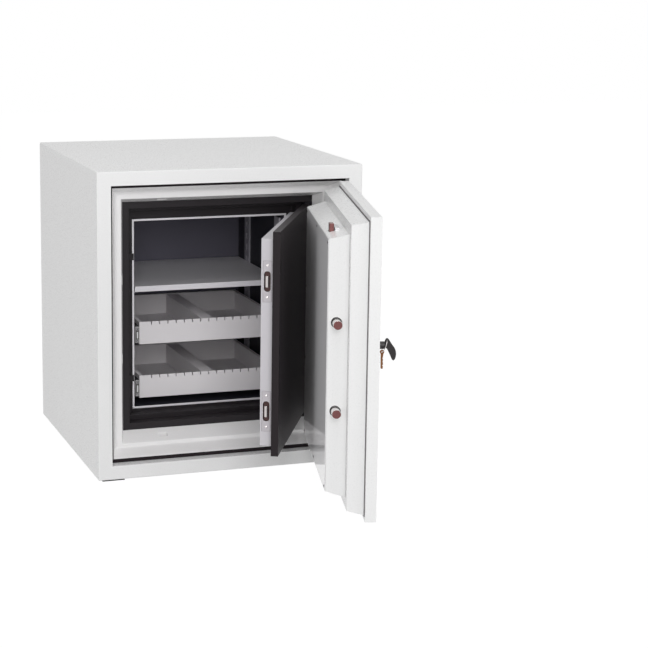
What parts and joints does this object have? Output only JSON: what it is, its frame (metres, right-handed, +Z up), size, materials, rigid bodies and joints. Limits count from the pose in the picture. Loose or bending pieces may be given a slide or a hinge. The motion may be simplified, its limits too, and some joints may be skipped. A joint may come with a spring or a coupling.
{
  "type": "fireproof data safe",
  "caption": "Fireproof data safe with stepped outer door and black inner door standing open over a lined chamber with a shelf and slotted media drawers.",
  "frame": {"origin": "on the floor under the middle of the cabinet", "axes": "+Z up, +X to the right seen from the front, +Y from the front to the back of the cabinet"},
  "size_m": [0.664, 1.2467, 0.748],
  "materials": {
    "white_paint": "smooth semi-gloss paint",
    "moulded_white": "smooth moulded plastic",
    "black_moulding": "satin moulded plastic",
    "seal_rubber": "matt rubber",
    "foot_rubber": "matt rubber",
    "filling": "cast insulation, hidden",
    "charcoal_paint": "satin paint",
    "back_paint": "satin paint",
    "upright_steel": "satin paint",
    "trim_aluminium": "satin",
    "shelf_grey": "satin paint",
    "drawer_grey": "satin paint",
    "runner_black": "satin paint",
    "runner_zinc": "zinc plated",
    "cover_grey": "high gloss paint",
    "pivot_steel": "satin",
    "bolt_chrome": "polished",
    "satin_metal": "satin",
    "lock_black": "satin moulded plastic",
    "lock_glass": "high gloss",
    "key_plastic": "satin moulded plastic",
    "key_brass": "worn brass",
    "leaf_black": "satin paint"
  },
  "bodies": {
    "cabinet": {"outer_shell": "white_paint", "fire_filling": "filling", "door_seal": "seal_rubber", "stepped_frame": "moulded_white", "inner_frame": "black_moulding", "foot_front_left": "foot_rubber", "foot_front_right": "foot_rubber", "foot_rear_left": "foot_rubber", "foot_rear_right": "foot_rubber", "hinge_fixed_upper": "white_paint", "hinge_fixed_lower": "white_paint", "pivot_top": "pivot_steel", "pivot_bottom": "pivot_steel", "chamber_trim": "trim_aluminium", "liner_sides": "charcoal_paint", "liner_back": "back_paint", "upright_front_left": "upright_steel", "upright_rear_left": "upright_steel", "upright_front_right": "upright_steel", "upright_rear_right": "upright_steel", "shelf": "shelf_grey", "runner_fixed_upper_left": "runner_black", "runner_fixed_upper_right": "runner_black", "runner_fixed_lower_left": "runner_black", "runner_fixed_lower_right": "runner_black"},
    "outer_door": {"door_slab": "white_paint", "door_gasket": "seal_rubber", "plug_outer": "white_paint", "plug_inner": "white_paint", "plug_cover": "cover_grey", "hinge_moving_upper": "white_paint", "hinge_moving_lower": "white_paint", "lock_drum": "lock_black", "lock_ring": "satin_metal", "lock_face": "lock_glass", "finger_guide": "lock_black", "key_escutcheon": "lock_black"},
    "inner_door": {"inner_leaf": "leaf_black", "inner_pan": "white_paint", "catch_plate_upper": "trim_aluminium", "catch_plate_lower": "trim_aluminium"},
    "upper_tray": {"drawer_upper": "drawer_grey", "divider_upper": "drawer_grey"},
    "lower_tray": {"drawer_lower": "drawer_grey", "divider_lower": "drawer_grey"},
    "upper_middle_rails": {"runner_middle_upper_left": "runner_zinc", "runner_middle_upper_right": "runner_zinc"},
    "lower_middle_rails": {"runner_middle_lower_left": "runner_zinc", "runner_middle_lower_right": "runner_zinc"},
    "side_bolts": {"bolt_bar": "bolt_chrome"},
    "top_bolt": {"bolt_top": "bolt_chrome"},
    "bottom_bolt": {"bolt_bottom": "bolt_chrome"},
    "lever": {"lever_handle": "satin_metal"},
    "lock_key": {"key": "key_plastic"},
    "ring": {"key_ring": "bolt_chrome"},
    "hanging_key": {"spare_key": "key_brass"},
    "upper_catch": {"catch_roller_upper": "bolt_chrome"},
    "lower_catch": {"catch_roller_lower": "bolt_chrome"}
  },
  "joints": [
    {"name": "outer_door_hinge", "type": "hinge", "parent": "cabinet", "child": "outer_door", "pos_m": [0.306, -0.3415, 0.4], "axis": [0, 0, 1], "range_deg": [-75.6, 14.4]},
    {"name": "inner_door_hinge", "type": "hinge", "parent": "cabinet", "child": "inner_door", "pos_m": [0.237, -0.2145, 0.4], "axis": [0, 0, 1], "range_deg": [-61.8, 11.8]},
    {"name": "lever_turn", "type": "hinge", "parent": "outer_door", "child": "lever", "pos_m": [0.24569, -0.52011, 0.4], "axis": [-0.9686, 0.2487, 0], "range_deg": [0, 90]},
    {"name": "side_bolt_slide", "type": "slide", "parent": "outer_door", "child": "side_bolts", "axis": [0.2487, 0.9686, 0], "range_m": [0, 0.027]},
    {"name": "top_bolt_slide", "type": "slide", "parent": "outer_door", "child": "top_bolt", "axis": [0, 0, -1], "range_m": [0, 0.016]},
    {"name": "bottom_bolt_slide", "type": "slide", "parent": "outer_door", "child": "bottom_bolt", "axis": [0, 0, 1], "range_m": [0, 0.016]},
    {"name": "key_turn", "type": "hinge", "parent": "outer_door", "child": "lock_key", "pos_m": [0.17058, -0.81262, 0.41], "axis": [-0.9686, 0.2487, 0], "range_deg": [0, 90]},
    {"name": "ring_swing", "type": "hinge", "parent": "lock_key", "child": "ring", "pos_m": [0.20032, -0.82026, 0.4205], "axis": [0.2487, 0.9686, 0], "range_deg": [-8, 5]},
    {"name": "hanging_key_swing", "type": "hinge", "parent": "ring", "child": "hanging_key", "pos_m": [0.19044, -0.81772, 0.3948], "axis": [0.2487, 0.9686, 0], "range_deg": [-10, 10]},
    {"name": "upper_tray_slide", "type": "slide", "parent": "cabinet", "child": "upper_tray", "axis": [0, -1, 0], "range_m": [0, 0.08]},
    {"name": "lower_tray_slide", "type": "slide", "parent": "cabinet", "child": "lower_tray", "axis": [0, -1, 0], "range_m": [0, 0.08]},
    {"name": "upper_middle_rail_slide", "type": "slide", "parent": "cabinet", "child": "upper_middle_rails", "axis": [0, -1, 0], "range_m": [0, 0.04]},
    {"name": "lower_middle_rail_slide", "type": "slide", "parent": "cabinet", "child": "lower_middle_rails", "axis": [0, -1, 0], "range_m": [0, 0.04]},
    {"name": "upper_catch_slide", "type": "slide", "parent": "inner_door", "child": "upper_catch", "axis": [0.4726, 0.8813, 0], "range_m": [0, 0.003], "stiffness_N_per_m": 500},
    {"name": "lower_catch_slide", "type": "slide", "parent": "inner_door", "child": "lower_catch", "axis": [0.4726, 0.8813, 0], "range_m": [0, 0.003], "stiffness_N_per_m": 500}
  ],
  "couplings": [
    {"joint": "inner_door_hinge", "follows": "outer_door_hinge", "ratio": 0.8174},
    {"joint": "side_bolt_slide", "follows": "lever_turn", "m_per_rad": 0.01718},
    {"joint": "top_bolt_slide", "follows": "lever_turn", "m_per_rad": 0.010185},
    {"joint": "bottom_bolt_slide", "follows": "lever_turn", "m_per_rad": 0.010185},
    {"joint": "upper_middle_rail_slide", "follows": "upper_tray_slide", "ratio": 0.5},
    {"joint": "lower_middle_rail_slide", "follows": "lower_tray_slide", "ratio": 0.5}
  ]
}
